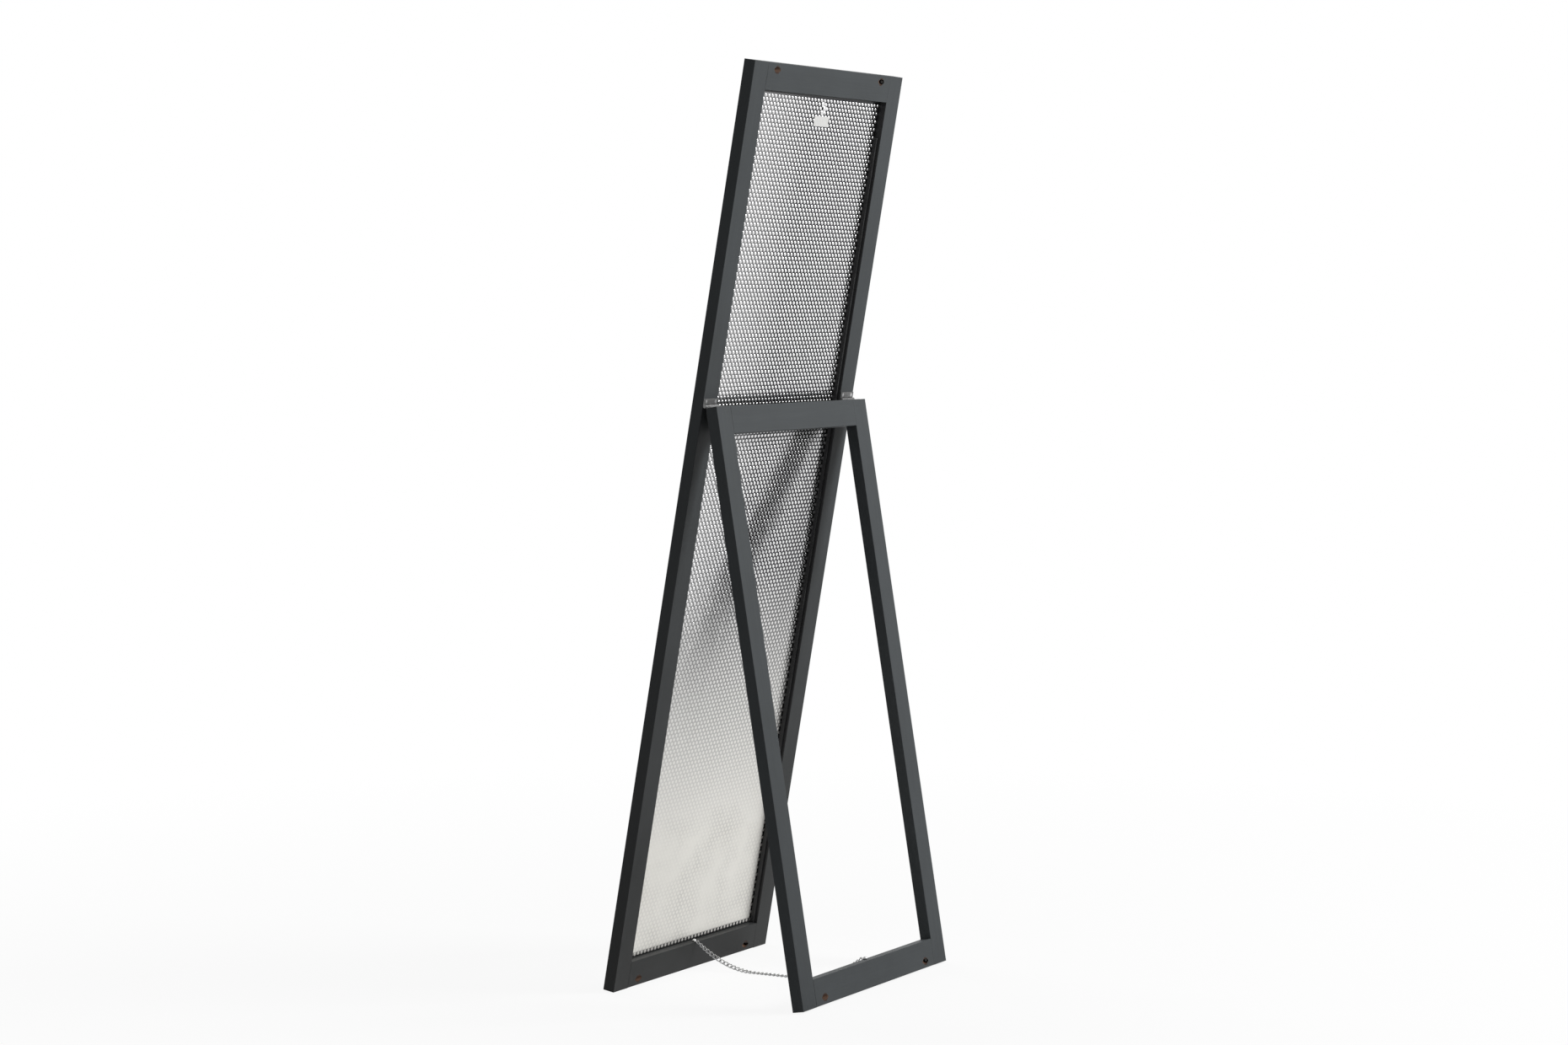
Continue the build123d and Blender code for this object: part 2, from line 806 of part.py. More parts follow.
# The leg folds flat to the frame one way, and the other way until the chain is taut
taut_length = (link_count + 1) * link_inner_length
frame_end = chain_point(frame_anchor, frame_outward, end_link_run)
leg_end = chain_point(leg_anchor, leg_outward, end_link_run)
frame_arm = frame_end - pin_centre
leg_arm = leg_end - pin_centre
frame_arm_length = hypot(frame_arm.Y, frame_arm.Z)
leg_arm_length = hypot(leg_arm.Y, leg_arm.Z)
spread = acos((frame_arm.Y * leg_arm.Y + frame_arm.Z * leg_arm.Z) / frame_arm_length / leg_arm_length)
taut_spread = acos(
    (frame_arm_length**2 + leg_arm_length**2 - taut_length**2) / (2 * frame_arm_length * leg_arm_length)
)
print("pin at", pin_centre)
print("lean of the frame", lean_angle, "and of the leg", round(degrees(leg_lean), 3))
print("fold from", round(-lean_angle - degrees(leg_lean), 3), "to", round(degrees(taut_spread - spread), 3))
print("chain of", link_count, "links,", round(chain_path.length, 1), "long, spaced", round(link_spacing, 3))
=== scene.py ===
"""The looks of a floor mirror that stands on a folding leg.

Charcoal painted wood, metallised bubble film behind the glass, zinc hinges and a chain of twisted links.
Sizes are in metres, in the part's own frame: X across the mirror, its front towards -Y, +Z up.
"""

import json
import math

import bpy
import numpy as np
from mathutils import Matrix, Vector


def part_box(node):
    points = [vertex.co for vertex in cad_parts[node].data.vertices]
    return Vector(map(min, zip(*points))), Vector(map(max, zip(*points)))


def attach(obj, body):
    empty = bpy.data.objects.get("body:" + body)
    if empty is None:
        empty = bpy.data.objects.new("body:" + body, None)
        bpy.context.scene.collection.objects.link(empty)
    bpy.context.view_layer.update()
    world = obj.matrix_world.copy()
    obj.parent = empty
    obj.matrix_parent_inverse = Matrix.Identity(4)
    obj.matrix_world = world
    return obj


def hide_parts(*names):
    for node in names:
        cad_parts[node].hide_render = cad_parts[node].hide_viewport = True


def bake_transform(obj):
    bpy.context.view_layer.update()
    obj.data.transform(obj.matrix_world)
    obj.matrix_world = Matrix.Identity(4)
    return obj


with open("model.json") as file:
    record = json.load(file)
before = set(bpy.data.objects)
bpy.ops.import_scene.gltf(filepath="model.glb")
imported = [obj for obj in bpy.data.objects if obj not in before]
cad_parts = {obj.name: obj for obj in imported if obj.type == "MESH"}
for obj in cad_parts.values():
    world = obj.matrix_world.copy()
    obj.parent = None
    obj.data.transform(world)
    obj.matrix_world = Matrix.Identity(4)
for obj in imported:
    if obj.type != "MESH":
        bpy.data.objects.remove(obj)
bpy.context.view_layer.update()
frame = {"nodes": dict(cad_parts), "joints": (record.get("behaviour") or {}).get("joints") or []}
nodes = frame["nodes"]

# Sizes of the wood
FRAME_WIDTH = 0.450
FRAME_HEIGHT = 1.370
WOOD_WIDTH = 0.040
WOOD_THICKNESS = 0.018
REBATE_DEPTH = 0.015
ARRIS = 0.0008
LEAN = math.radians(10.1)
HINGE_HEIGHT = 0.8742
BARREL_HEIGHT = 0.00275
LEG_LENGTH = 0.8695
LEG_SETBACK = 0.002

fold = frame["joints"][0]
pin = Vector(fold["pos_m"])
leg_lean = -math.radians(fold["range_deg"][0]) - LEAN

# The drilled pockets, and the paint that broke away around them
POCKET_X = 0.158
POCKET_MARGIN = 0.010
CHIP_HALF_WIDTH = 0.0072
CHIP_HALF_HEIGHT = 0.0062

# Directions up each frame and out of its back
frame_up = Vector((0, math.sin(LEAN), math.cos(LEAN)))
frame_back = Vector((0, math.cos(LEAN), -math.sin(LEAN)))
leg_up = Vector((0, -math.sin(leg_lean), math.cos(leg_lean)))
leg_back = Vector((0, math.cos(leg_lean), math.sin(leg_lean)))
frame_foot = pin - frame_up * HINGE_HEIGHT - frame_back * BARREL_HEIGHT
leg_foot = pin - leg_up * (LEG_LENGTH + BARREL_HEIGHT) + leg_back * (LEG_SETBACK + WOOD_THICKNESS)
across = Vector((1, 0, 0))


def on_frame(x, up, depth):
    """The point x across, up along the mirror frame and depth in front of its back face."""
    return frame_foot + across * x + frame_up * up - frame_back * depth


def on_leg(x, up, depth):
    """The point x across, up along the leg and depth in front of its back face."""
    return leg_foot + across * x + leg_up * up - leg_back * depth


# Shader helpers
def add(tree, kind, inputs=None, **settings):
    """A shader node with its settings, and with values or sockets on its inputs."""
    node = tree.nodes.new(kind)
    for name, value in settings.items():
        setattr(node, name, value)
    for name, value in (inputs or {}).items():
        if isinstance(value, bpy.types.NodeSocket):
            tree.links.new(value, node.inputs[name])
        else:
            node.inputs[name].default_value = value
    return node


def add_math(tree, operation, first, second=0.5):
    """The result of an operation on one or two numbers."""
    return add(tree, "ShaderNodeMath", {0: first, 1: second}, operation=operation).outputs[0]


def add_ramp(tree, value, low, high, to_low=0.0, to_high=1.0):
    """A value spread from one range to another, and held at its ends."""
    inputs = {"Value": value, "From Min": low, "From Max": high, "To Min": to_low, "To Max": to_high}
    return add(tree, "ShaderNodeMapRange", inputs).outputs[0]


def mix_colours(tree, share, first, second):
    """The first colour at a share of 0, the second at 1."""
    mix = add(tree, "ShaderNodeMix", data_type="RGBA")
    for name, value in (("Factor", share), ("A", first), ("B", second)):
        kind = "VALUE" if name == "Factor" else "RGBA"
        socket = next(s for s in mix.inputs if s.name == name and s.type == kind)
        if isinstance(value, bpy.types.NodeSocket):
            tree.links.new(value, socket)
        else:
            socket.default_value = value
    return next(s for s in mix.outputs if s.type == "RGBA")


def new_group(name, inputs, outputs):
    """A shader group with number or vector inputs and number outputs."""
    group = bpy.data.node_groups.new(name, "ShaderNodeTree")
    for label, kind, value in inputs:
        socket = group.interface.new_socket(label, in_out="INPUT", socket_type=kind)
        if kind == "NodeSocketFloat":
            socket.default_value = value
    for label in outputs:
        group.interface.new_socket(label, in_out="OUTPUT", socket_type="NodeSocketFloat")
    return group, group.nodes.new("NodeGroupInput"), group.nodes.new("NodeGroupOutput")


def add_group(tree, group, inputs):
    """A shared effect, placed in a material with its own values."""
    return add(tree, "ShaderNodeGroup", inputs, node_tree=group)


def colour(red, green, blue):
    """An opaque colour."""
    return (red, green, blue, 1.0)


def new_material(name):
    """A material, its node tree and its Principled surface."""
    material = bpy.data.materials.new(name)
    material.use_nodes = True
    tree = material.node_tree
    return material, tree, tree.nodes["Principled BSDF"]


def bump(tree, height, strength, distance):
    """The normal of a surface that this height raises."""
    inputs = {"Height": height, "Strength": strength, "Distance": distance}
    return add(tree, "ShaderNodeBump", inputs).outputs[0]


# Shared effects, with the limits between which each one sets in
EDGE_TURN = (0.985, 0.9)
WORN_AND_LIT_PATCHES = (0.42, 0.62)
MOTTLE_PATCHES = (0.3, 0.7)
BEVEL_SAMPLES = 6
FIBRE_SHARE = 0.6
BAND_FINENESS = 0.12
CHIP_RAGGEDNESS = 420.0
CHIP_EDGE = (1.3, 1.6)
CHIP_FACE = (-0.0004, -0.0002)


def make_edge_wear_and_highlight():
    """Where an edge is rubbed and carries a painted highlight: 1 on the sharpest edges, broken up by noise.
    """
    inputs = [("Reach", "NodeSocketFloat", 0.0012), ("Patchiness", "NodeSocketFloat", 60.0)]
    group, source, result = new_group("edge wear and highlight", inputs, ["Wear"])
    normal = add(group, "ShaderNodeNewGeometry").outputs["Normal"]
    inputs = {"Radius": source.outputs["Reach"]}
    rounded = add(group, "ShaderNodeBevel", inputs, samples=BEVEL_SAMPLES).outputs[0]
    alike = add(group, "ShaderNodeVectorMath", {0: normal, 1: rounded}, operation="DOT_PRODUCT")
    edge = add_ramp(group, alike.outputs["Value"], *EDGE_TURN)
    place = add(group, "ShaderNodeTexCoord").outputs["Object"]
    inputs = {"Vector": place, "Scale": source.outputs["Patchiness"], "Detail": 4.0}
    patches = add(group, "ShaderNodeTexNoise", inputs).outputs[0]
    worn_and_lit = add_math(group, "MULTIPLY", edge, add_ramp(group, patches, *WORN_AND_LIT_PATCHES))
    group.links.new(worn_and_lit, result.inputs["Wear"])
    return group


def make_grain():
    """Grain under paint: long fibres in a Tone and a Height, from a place stretched along the wood."""
    inputs = [("Place", "NodeSocketVector", None), ("Fineness", "NodeSocketFloat", 1.0)]
    group, source, result = new_group("grain", inputs, ["Tone", "Height"])
    inputs = {"Vector": source.outputs["Place"], "Scale": source.outputs["Fineness"], "Detail": 6.0}
    fibres = add(group, "ShaderNodeTexNoise", inputs).outputs[0]
    wide = add_math(group, "MULTIPLY", source.outputs["Fineness"], BAND_FINENESS)
    bands = add(group, "ShaderNodeTexNoise", {"Vector": source.outputs["Place"], "Scale": wide}).outputs[0]
    fine_tone = add_math(group, "MULTIPLY", fibres, FIBRE_SHARE)
    broad_tone = add_math(group, "MULTIPLY", bands, 1 - FIBRE_SHARE)
    tone = add_math(group, "ADD", fine_tone, broad_tone)
    group.links.new(tone, result.inputs["Tone"])
    group.links.new(fibres, result.inputs["Height"])
    return group


def make_mottle():
    """Slow, uneven patches, as handling and dust leave them."""
    group, source, result = new_group("mottle", [("Size", "NodeSocketFloat", 8.0)], ["Patches"])
    place = add(group, "ShaderNodeTexCoord").outputs["Object"]
    inputs = {"Vector": place, "Scale": source.outputs["Size"], "Detail": 5.0, "Roughness": 0.6}
    patches = add(group, "ShaderNodeTexNoise", inputs).outputs[0]
    group.links.new(add_ramp(group, patches, *MOTTLE_PATCHES), result.inputs["Patches"])
    return group


def make_chipped_rim():
    """Where the paint broke away around a drilled pocket, as a ragged oval on a frame's back face."""
    inputs = [
        ("Place", "NodeSocketVector", None),
        ("Up", "NodeSocketFloat", 0.0),
        ("Face", "NodeSocketFloat", 0.0),
    ]
    group, source, result = new_group("chipped rim", inputs, ["Chip"])
    place = add(group, "ShaderNodeSeparateXYZ", {0: source.outputs["Place"]}).outputs
    aside = add_math(group, "SUBTRACT", add_math(group, "ABSOLUTE", place["X"]), POCKET_X)
    above = add_math(group, "SUBTRACT", place["Z"], source.outputs["Up"])
    aside = add_math(group, "POWER", add_math(group, "DIVIDE", aside, CHIP_HALF_WIDTH), 2.0)
    above = add_math(group, "POWER", add_math(group, "DIVIDE", above, CHIP_HALF_HEIGHT), 2.0)
    inputs = {"Vector": source.outputs["Place"], "Scale": CHIP_RAGGEDNESS}
    ragged = add(group, "ShaderNodeTexNoise", inputs).outputs[0]
    reach = add_math(group, "ADD", add_math(group, "ADD", aside, above), ragged)
    behind = add_math(group, "SUBTRACT", place["Y"], source.outputs["Face"])
    oval = add_ramp(group, reach, *CHIP_EDGE, 1.0, 0.0)
    on_face = add_ramp(group, behind, *CHIP_FACE)
    chip = add_math(group, "MULTIPLY", oval, on_face)
    group.links.new(chip, result.inputs["Chip"])
    return group


edge_wear_and_highlight = make_edge_wear_and_highlight()
chipped_rim = make_chipped_rim()
grain = make_grain()
mottle = make_mottle()

# The grain's fineness in X, Y and Z, which is least along the wood
ALONG_STILE = (700.0, 700.0, 18.0)
ALONG_RAIL = (18.0, 700.0, 700.0)
ALONG_POCKET = (90.0, 700.0, 700.0)

# How far up the mirror frame painted shade darkens its paint towards the foot, and by what share there
DARK_FOOT_REACH = 1.1
DARK_FOOT_SHADE = 0.68

# Colours of the paint, the wood and the stain; the foot's colour is painted shade, the black stain is partly
# painted shade on the rebate's walls, and the rubbed colours are partly painted highlight
PAINT_DEEP = colour(0.060, 0.068, 0.073)
PAINT_LIGHT = colour(0.069, 0.078, 0.083)
PAINT_DUSTY = colour(0.064, 0.067, 0.069)
PAINT_RUBBED_AND_LIT = colour(0.16, 0.155, 0.145)
FOOT_PAINTED_SHADE = colour(0.030, 0.0285, 0.0265)
WOOD_DARK = colour(0.040, 0.018, 0.010)
WOOD_LIGHT = colour(0.15, 0.070, 0.034)
BLACK_STAIN_AND_RECESS_SHADE = colour(0.012, 0.012, 0.013)
STAIN_RUBBED_AND_LIT = colour(0.17, 0.17, 0.17)

# How much dust shows in the paint, how much its edges are rubbed and carry a painted highlight, and how it
# shines
DUST_SHARE = 0.35
RUBBED_AND_LIT_SHARE = 0.55
PAINT_ROUGHNESS = (0.42, 0.56)
PAINT_GLOSS = 0.16


def leaning_place(tree, lean):
    """A place turned by a frame's lean, so that Z runs up that frame."""
    place = add(tree, "ShaderNodeTexCoord").outputs["Object"]
    inputs = {"Vector": place, "Angle": lean}
    return add(tree, "ShaderNodeVectorRotate", inputs, rotation_type="X_AXIS").outputs[0]


def make_painted_wood(name, foot, up, back, stretch, low_shade=0.0, pockets=()):
    """Charcoal paint over planed wood, with a little grain, paler edges of rubbing and painted highlight, and
    a painted shade that darkens and warms the foot.
    """
    material, tree, surface = new_material(name)
    leaning = leaning_place(tree, math.atan2(up.y, up.z))
    place = add(tree, "ShaderNodeMapping", {"Vector": leaning, "Scale": stretch}).outputs[0]
    fibres = add_group(tree, grain, {"Place": place, "Fineness": 1.0})
    patches = add_group(tree, mottle, {"Size": 9.0}).outputs["Patches"]
    tone = add_ramp(tree, fibres.outputs["Tone"], 0.35, 0.65)
    paint = mix_colours(tree, tone, PAINT_DEEP, PAINT_LIGHT)
    paint = mix_colours(tree, add_math(tree, "MULTIPLY", patches, DUST_SHARE), paint, PAINT_DUSTY)
    # Paler edges: partly rubbed wear, partly a painted highlight along the arrises
    worn_and_lit = add_group(tree, edge_wear_and_highlight, {"Reach": 0.0010, "Patchiness": 70.0}).outputs["Wear"]
    paint = mix_colours(tree, add_math(tree, "MULTIPLY", worn_and_lit, RUBBED_AND_LIT_SHARE), paint, PAINT_RUBBED_AND_LIT)
    # Painted shade: the mirror frame's paint darkens and warms towards its foot
    ground = foot.dot(up)
    height = add(tree, "ShaderNodeSeparateXYZ", {0: leaning}).outputs["Z"]
    low = add_ramp(tree, height, ground, ground + DARK_FOOT_REACH, low_shade, 0.0)
    paint = mix_colours(tree, low, paint, FOOT_PAINTED_SHADE)
    for pocket in pockets:
        inputs = {"Place": leaning, "Up": ground + pocket, "Face": foot.dot(back)}
        chip = add_group(tree, chipped_rim, inputs).outputs["Chip"]
        paint = mix_colours(tree, chip, paint, WOOD_DARK)
    tree.links.new(paint, surface.inputs["Base Color"])
    tree.links.new(add_ramp(tree, patches, 0.0, 1.0, *PAINT_ROUGHNESS), surface.inputs["Roughness"])
    tree.links.new(bump(tree, fibres.outputs["Height"], 0.18, 0.0002), surface.inputs["Normal"])
    surface.inputs["Specular IOR Level"].default_value = PAINT_GLOSS
    return material


def make_bare_wood():
    """Reddish wood where a pocket is drilled through the paint."""
    material, tree, surface = new_material("bare wood")
    place = add(tree, "ShaderNodeTexCoord").outputs["Object"]
    place = add(tree, "ShaderNodeMapping", {"Vector": place, "Scale": ALONG_POCKET}).outputs[0]
    fibres = add_group(tree, grain, {"Place": place, "Fineness": 1.0})
    tone = add_ramp(tree, fibres.outputs["Tone"], 0.3, 0.7)
    wood = mix_colours(tree, tone, WOOD_DARK, WOOD_LIGHT)
    tree.links.new(wood, surface.inputs["Base Color"])
    tree.links.new(bump(tree, fibres.outputs["Height"], 0.5, 0.0004), surface.inputs["Normal"])
    surface.inputs["Roughness"].default_value = 0.8
    return material


def make_black_stain_and_recess_shade():
    """Black stain on the thin battens, and on the rebate's walls, where it is partly painted shade in the
    recess; the arrises are paler, partly rubbed and partly a painted highlight.
    """
    material, tree, surface = new_material("black stain and recess shade")
    worn_and_lit = add_group(tree, edge_wear_and_highlight, {"Reach": 0.0012, "Patchiness": 25.0}).outputs["Wear"]
    # The pale arrises are partly rubbed wear and partly a painted highlight
    stain = mix_colours(tree, worn_and_lit, BLACK_STAIN_AND_RECESS_SHADE, STAIN_RUBBED_AND_LIT)
    tree.links.new(stain, surface.inputs["Base Color"])
    surface.inputs["Roughness"].default_value = 0.5
    return material


# Zinc plate and its bloom, as tints of the shade, and how much rougher the bloom is
ZINC_TINT = (1.0, 1.0, 0.985)
BLOOM_TINT = (0.72, 0.73, 0.75)
BLOOM_ROUGHNESS = 0.16


def make_zinc(name, shade, roughness):
    """Zinc plate: bright metal with a faint mottled bloom."""
    material, tree, surface = new_material(name)
    patches = add_group(tree, mottle, {"Size": 260.0}).outputs["Patches"]
    bright = colour(*(shade * tint for tint in ZINC_TINT))
    dull = colour(*(shade * tint for tint in BLOOM_TINT))
    tree.links.new(mix_colours(tree, patches, bright, dull), surface.inputs["Base Color"])
    bloom = add_ramp(tree, patches, 0.0, 1.0, roughness, roughness + BLOOM_ROUGHNESS)
    tree.links.new(bloom, surface.inputs["Roughness"])
    surface.inputs["Metallic"].default_value = 1.0
    return material


def make_silvered_glass():
    """The mirror's face: silver under clear glass."""
    material, tree, surface = new_material("silvered glass")
    patches = add_group(tree, mottle, {"Size": 5.0}).outputs["Patches"]
    silver = mix_colours(tree, patches, colour(0.90, 0.915, 0.91), colour(0.88, 0.9, 0.895))
    tree.links.new(silver, surface.inputs["Base Color"])
    surface.inputs["Metallic"].default_value = 1.0
    surface.inputs["Roughness"].default_value = 0.02
    surface.inputs["Coat Weight"].default_value = 0.5
    surface.inputs["Coat Roughness"].default_value = 0.01
    return material


def make_glass_backing():
    """The dark lacquer on the back of the silvering."""
    material, tree, surface = new_material("glass backing")
    patches = add_group(tree, mottle, {"Size": 30.0}).outputs["Patches"]
    lacquer = mix_colours(tree, patches, colour(0.03, 0.032, 0.034), colour(0.05, 0.052, 0.054))
    tree.links.new(lacquer, surface.inputs["Base Color"])
    surface.inputs["Roughness"].default_value = 0.4
    return material


def make_sticker_paper():
    """White paper with nothing printed on it, a little uneven."""
    material, tree, surface = new_material("sticker paper")
    patches = add_group(tree, mottle, {"Size": 120.0}).outputs["Patches"]
    paper = mix_colours(tree, patches, colour(0.95, 0.95, 0.93), colour(0.88, 0.88, 0.86))
    tree.links.new(paper, surface.inputs["Base Color"])
    tree.links.new(bump(tree, patches, 0.2, 0.0002), surface.inputs["Normal"])
    surface.inputs["Roughness"].default_value = 0.5
    return material


# Bubble film: rows of oval bubbles, every second row shifted by half a pitch
BUBBLE_PITCH = 0.00974
BUBBLE_ROW = 0.00603
BUBBLE_HALF_WIDTH = 0.0035
BUBBLE_HALF_HEIGHT = 0.0030
BUBBLE_HEIGHT = 0.0008
BUBBLE_SIDES = 8

# The bubbles differ in height within these shares, and at the film's foot they are nearly flat
SWELL_RANGE = (0.8, 1.0)
SWELL_SEED = 7
FLAT_SHARE = 0.12

# The bubbles' tops lie this deep in the frame, and the outer bubbles' centres this far inside the opening
FILM_TOP_DEPTH = 0.0104
FILM_MARGIN = 0.0045
FILM_EDGE = 0.0030
GLASS_THICKNESS = 0.003
GLASS_GAP = 0.0001

# Each ring of a bubble: its share of the outline, of the height, and how far it counts as a dip that takes
# the painted gap shade
BUBBLE_RINGS = ((1.0, 0.0, 1.0), (0.70, 0.96, 0.0))
half_opening = FRAME_WIDTH / 2 - WOOD_WIDTH
film_depth = FILM_TOP_DEPTH + BUBBLE_HEIGHT
film_back = REBATE_DEPTH - GLASS_THICKNESS - GLASS_GAP
film_bottom = WOOD_WIDTH + FILM_MARGIN
film_top = FRAME_HEIGHT - WOOD_WIDTH - FILM_MARGIN
film_edge_x = half_opening - FILM_MARGIN

# This near the film's side and bottom edges the painted shade in its gaps stays all the way down
RIM_WIDTH = 0.0038

# A shiny crumple of film over the label, where the bubbles are lifted and the painted gap shade is left out
CRUMPLE_X = -0.013
CRUMPLE_DROP = 0.015
CRUMPLE_HALF_WIDTH = 0.007
CRUMPLE_HALF_HEIGHT = 0.012
CRUMPLE_LIFT = 0.0018
CRUMPLE_SPREAD = 0.4

# Towards the foot of the mirror the painted shade in the film's gaps fades, its colour turns to a painted
# warm reflection of the floor, and it shines less
GAPS_START = 0.20
GAPS_FULL = 0.62
FAINT_GAPS = (0.02, 0.22)
FILM_ROUGHNESS = (0.46, 0.13)

# Across the film, towards +X, the painted shade in the gaps fades to this share
SIDE_FADE_START = 0.02
SIDE_GAP_SHARE = 0.68

# Colours of the film, with the painted shade in its gaps and the painted warm reflection of the floor at its
# foot, and how metallic it is
FILM_BRIGHT = colour(0.95, 0.95, 0.945)
FILM_SPECKS = colour(0.82, 0.82, 0.83)
FILM_FLOOR_REFLECTION = colour(0.94, 0.925, 0.875)
FILM_GAP_SHADE = colour(0.028, 0.029, 0.034)
FILM_METALLIC = 0.92


def make_bubble_film():
    """Metallised film: bright over each bubble, with painted shade where it dips between them and a painted
    warm reflection of the floor towards the foot.
    """
    material, tree, surface = new_material("bubble film")
    up = add(tree, "ShaderNodeSeparateXYZ", {0: leaning_place(tree, LEAN)}).outputs["Z"]
    foot = frame_foot.dot(frame_up)
    height = add_ramp(tree, up, foot + GAPS_START, foot + GAPS_FULL)
    dip = add(tree, "ShaderNodeAttribute", attribute_name="dip").outputs["Fac"]
    patches = add_group(tree, mottle, {"Size": 9.0}).outputs["Patches"]
    specks = add_group(tree, mottle, {"Size": 190.0}).outputs["Patches"]
    faint = add_ramp(tree, patches, 0.3, 1.0, *FAINT_GAPS)
    place = add(tree, "ShaderNodeTexCoord").outputs["Object"]
    aside = add(tree, "ShaderNodeSeparateXYZ", {0: place}).outputs["X"]
    reach = add_math(tree, "ABSOLUTE", aside)
    side_rim = add_ramp(tree, reach, film_edge_x - RIM_WIDTH, film_edge_x - RIM_WIDTH / 2)
    low_rim = add_ramp(tree, up, foot + film_bottom + RIM_WIDTH, foot + film_bottom + RIM_WIDTH / 2)
    rim = add_math(tree, "MAXIMUM", side_rim, low_rim)
    dip_share = add_ramp(tree, aside, SIDE_FADE_START, half_opening, 1.0, SIDE_GAP_SHARE)
    dip = add_math(tree, "MULTIPLY", dip, dip_share)
    shown = add_math(tree, "MAXIMUM", add_math(tree, "MAXIMUM", height, faint), rim)
    bright = mix_colours(tree, specks, FILM_BRIGHT, FILM_SPECKS)
    # Towards the foot the silver turns to a painted warm reflection of the floor
    silver = mix_colours(tree, height, FILM_FLOOR_REFLECTION, bright)
    # Painted shade darkens the dips between the bubbles
    film = mix_colours(tree, add_math(tree, "MULTIPLY", dip, shown), silver, FILM_GAP_SHADE)
    tree.links.new(film, surface.inputs["Base Color"])
    tree.links.new(add_ramp(tree, height, 0.0, 1.0, *FILM_ROUGHNESS), surface.inputs["Roughness"])
    tree.links.new(bump(tree, patches, 0.3, 0.002), surface.inputs["Normal"])
    surface.inputs["Metallic"].default_value = FILM_METALLIC
    return material


frame_wood = (frame_foot, frame_up, frame_back)
leg_wood = (leg_foot, leg_up, leg_back)
frame_pockets = (POCKET_MARGIN, FRAME_HEIGHT - POCKET_MARGIN)
leg_pockets = (POCKET_MARGIN,)
painted_frame_stile = make_painted_wood("painted frame stile", *frame_wood, ALONG_STILE, DARK_FOOT_SHADE)
painted_frame_rail = make_painted_wood(
    "painted frame rail", *frame_wood, ALONG_RAIL, DARK_FOOT_SHADE, frame_pockets
)
painted_leg_stile = make_painted_wood("painted leg stile", *leg_wood, ALONG_STILE)
painted_leg_rail = make_painted_wood("painted leg rail", *leg_wood, ALONG_RAIL, 0.0, leg_pockets)
bare_wood = make_bare_wood()
black_stain_and_recess_shade = make_black_stain_and_recess_shade()
hinge_zinc = make_zinc("hinge zinc", 0.20, 0.36)
screw_zinc = make_zinc("screw zinc", 0.66, 0.26)
# Screws sunk in the rails' pockets take a much darker zinc, which is painted shade in the pockets; the batten
# brads share it
shaded_sunk_screw_zinc = make_zinc("sunk screw zinc in painted shade", 0.16, 0.45)
chain_zinc = make_zinc("chain zinc", 0.46, 0.20)
silvered_glass = make_silvered_glass()
glass_backing = make_glass_backing()
sticker_paper = make_sticker_paper()
bubble_film = make_bubble_film()


def finish(names, *materials):
    """Gives CAD nodes their materials, in the order of their slots."""
    for name in names:
        slots = nodes[name].data.materials
        slots.clear()
        for material in materials:
            slots.append(material)


finish(["frame_left_stile", "frame_right_stile"], painted_frame_stile, black_stain_and_recess_shade)
finish(["frame_top_rail", "frame_bottom_rail"], painted_frame_rail, bare_wood)
finish(["leg_left_stile", "leg_right_stile"], painted_leg_stile)
finish(["leg_top_rail", "leg_bottom_rail"], painted_leg_rail, bare_wood)
finish(["left_batten", "right_batten"], black_stain_and_recess_shade)
finish(["frame_dowels", "leg_dowels"], bare_wood)
finish(["mirror_glass"], silvered_glass, glass_backing)
finish(["label"], sticker_paper)
# The sunk screws' darker zinc is painted shade in their pockets
finish(["batten_brads", "frame_screws", "leg_screws"], shaded_sunk_screw_zinc)
finish(["left_hinge_frame_leaf", "right_hinge_frame_leaf"], hinge_zinc)
finish(["left_hinge_leg_leaf", "right_hinge_leg_leaf"], hinge_zinc)
finish(["left_hinge_pin", "right_hinge_pin"], hinge_zinc)
finish(["frame_hinge_screws", "leg_hinge_screws"], screw_zinc)
finish(["chain_frame_screw", "chain_leg_screw"], screw_zinc)


# How much of a face's normal has to lie along a direction for the face to count
LEAST_SLANT = 0.02
END_FACING = 0.9999
SIDE_FACING = 0.9
FRONT_FACING = -0.5


def bare_the_pockets(name, back, foot):
    """Walls inside a rail, between its faces, are the drilled pockets: they show bare wood."""
    mesh = nodes[name].data
    low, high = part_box(name)
    for face in mesh.polygons:
        depth = (foot - face.center).dot(back)
        inside_ends = low.x + ARRIS < face.center.x < high.x - ARRIS
        between_faces = ARRIS < depth < WOOD_THICKNESS - ARRIS
        slanting = LEAST_SLANT < abs(face.normal.x) < END_FACING
        face.material_index = int(inside_ends and between_faces and slanting)


# The rebate's side walls are stained black, partly as painted shade in the recess, and the glass is silver on
# its front face alone
stile_middle = FRAME_WIDTH / 2 - WOOD_WIDTH / 2
for stile in ("frame_left_stile", "frame_right_stile"):
    for face in nodes[stile].data.polygons:
        inner_wall = abs(face.normal.x) > SIDE_FACING and abs(face.center.x) < stile_middle
        face.material_index = int(inner_wall)
for rail in ("frame_top_rail", "frame_bottom_rail"):
    bare_the_pockets(rail, frame_back, frame_foot)
for rail in ("leg_top_rail", "leg_bottom_rail"):
    bare_the_pockets(rail, leg_back, leg_foot)
for face in nodes["mirror_glass"].data.polygons:
    face.material_index = int(face.normal.dot(frame_back) > FRONT_FACING)


